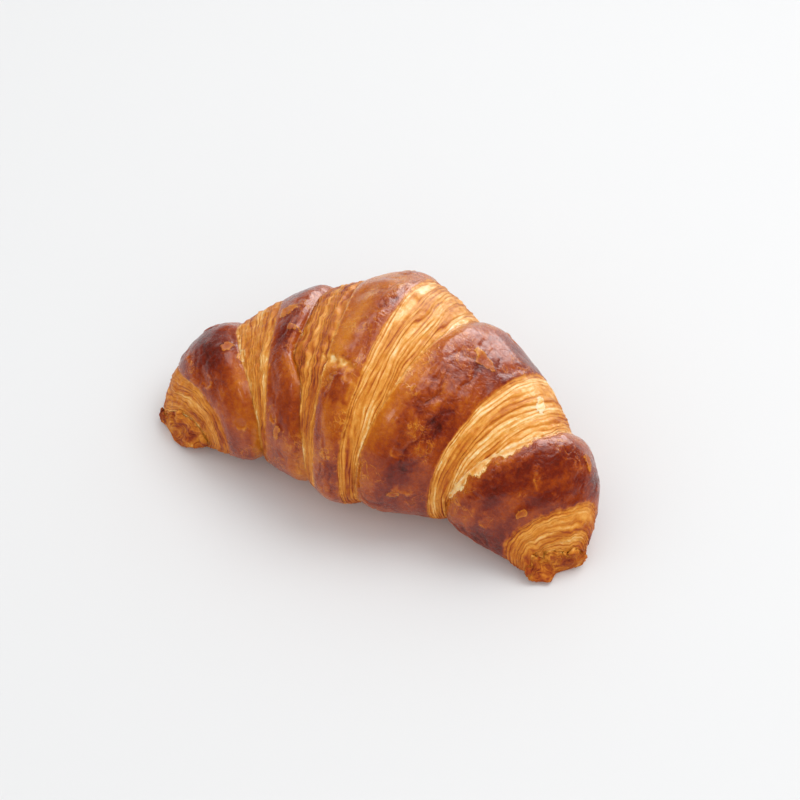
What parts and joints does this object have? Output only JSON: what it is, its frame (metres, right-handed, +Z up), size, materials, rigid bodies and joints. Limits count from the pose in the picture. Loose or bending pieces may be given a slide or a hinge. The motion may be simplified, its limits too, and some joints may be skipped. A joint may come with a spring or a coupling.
{
  "type": "croissant",
  "caption": "Baked butter croissant: a crescent roll of overlapping glossy bands with layered cut edges stepping between them, tapering to two bent tips, resting on a flat underside.",
  "frame": {"origin": "under the middle of the croissant's box, on the surface it rests on", "axes": "+X along the length from the left tip to the right tip, +Y to the outside of the bend, so the tips point towards -Y, +Z up"},
  "size_m": [0.1618, 0.088, 0.067],
  "materials": {
    "pastry": null
  },
  "bodies": {
    "root": {"croissant": "pastry"}
  },
  "joints": []
}
